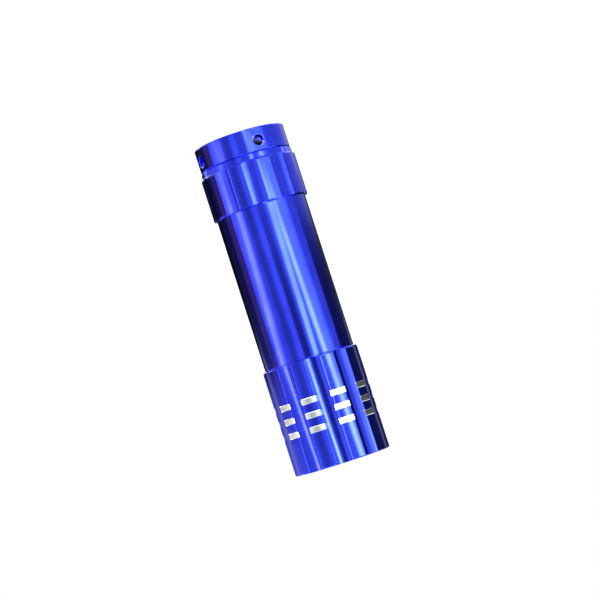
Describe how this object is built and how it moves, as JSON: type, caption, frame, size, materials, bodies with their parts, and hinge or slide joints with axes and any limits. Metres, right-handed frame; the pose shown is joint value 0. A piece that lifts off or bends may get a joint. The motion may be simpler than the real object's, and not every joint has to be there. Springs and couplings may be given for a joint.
{
  "type": "uv curing lamp",
  "caption": "Pocket UV curing lamp: smooth tube, fluted screw-on head with lens and LEDs, fluted screw-on tail cap with a recessed push button, cells in a cartridge.",
  "frame": {"origin": "centre of the tail cap's rim, on the surface that the lamp stands on", "axes": "+Z along the lamp's axis, from the tail to the lens, the way the light leaves; +X through the middle of one of the ten lands"},
  "size_m": [0.0266, 0.0262, 0.092],
  "materials": {
    "anodised": "glossy blue anodised",
    "rubber": "matt black",
    "white_plastic": "satin",
    "black_plastic": "satin",
    "steel": "nickel-plated spring wire and strip",
    "brass": "turned",
    "cell_jacket": "printed sleeve, plain",
    "board": "white solder mask",
    "led_epoxy": "clear",
    "chromed_plastic": "mirror",
    "lens_clear": "clear, polished"
  },
  "bodies": {
    "tail": {"tail_cap": "anodised", "boot_rim": "rubber", "switch_housing": "black_plastic", "switch_retaining_ring": "brass", "switch_contact": "brass", "tail_contact_spring": "steel", "switch_return_spring": "steel"},
    "button": {"button_boot": "rubber", "switch_plunger": "white_plastic"},
    "tail_seal": {"tail_o_ring": "rubber"},
    "barrel": {"body_tube": "anodised", "head_o_ring": "rubber"},
    "cartridge": {"cartridge_frame": "black_plastic", "cartridge_front_plate": "black_plastic", "cell_1": "cell_jacket", "cell_2": "cell_jacket", "cell_3": "cell_jacket", "cell_spring_1": "steel", "cell_spring_2": "steel", "cell_spring_3": "steel", "rear_link_strip": "steel", "front_link_strip": "steel", "rear_terminal": "brass", "front_terminal": "brass"},
    "led_module": {"front_contact_spring": "steel", "board_spacer": "brass", "led_board": "board", "led_1": "led_epoxy", "led_2": "led_epoxy", "led_3": "led_epoxy", "led_4": "led_epoxy", "led_5": "led_epoxy", "led_6": "led_epoxy", "led_7": "led_epoxy", "led_8": "led_epoxy", "led_9": "led_epoxy", "reflector": "chromed_plastic", "lens": "lens_clear", "lens_gasket": "rubber"},
    "head_shell": {"head": "anodised"}
  },
  "joints": [
    {"name": "button_press", "type": "slide", "parent": "tail", "child": "button", "axis": [0, 0, 1], "range_m": [0, 0.0015], "stiffness_N_per_m": 1500, "springref_m": -0.0015, "deforming": ["switch_return_spring"]},
    {"name": "tail_travel", "type": "slide", "parent": "tail", "child": "tail_seal", "axis": [0, 0, 1], "range_m": [0, 0.004]},
    {"name": "tail_turn", "type": "hinge", "parent": "tail_seal", "child": "barrel", "pos_m": [0, 0, 0.0172], "axis": [0, 0, 1], "range_deg": [0, 1440]},
    {"name": "cartridge_rise", "type": "slide", "parent": "tail", "child": "cartridge", "axis": [0, 0, 1], "range_m": [0, 0.002], "deforming": ["tail_contact_spring"]},
    {"name": "head_travel", "type": "slide", "parent": "barrel", "child": "led_module", "axis": [0, 0, 1], "range_m": [0, 0.006]},
    {"name": "head_turn", "type": "hinge", "parent": "led_module", "child": "head_shell", "pos_m": [0, 0, 0.0708], "axis": [0, 0, 1], "range_deg": [0, 2160]}
  ],
  "couplings": [
    {"joint": "tail_travel", "follows": "tail_turn", "m_per_rad": 0.00015915},
    {"joint": "cartridge_rise", "follows": "tail_turn", "m_per_rad": 0.000079577},
    {"joint": "head_travel", "follows": "head_turn", "m_per_rad": 0.00015915}
  ]
}
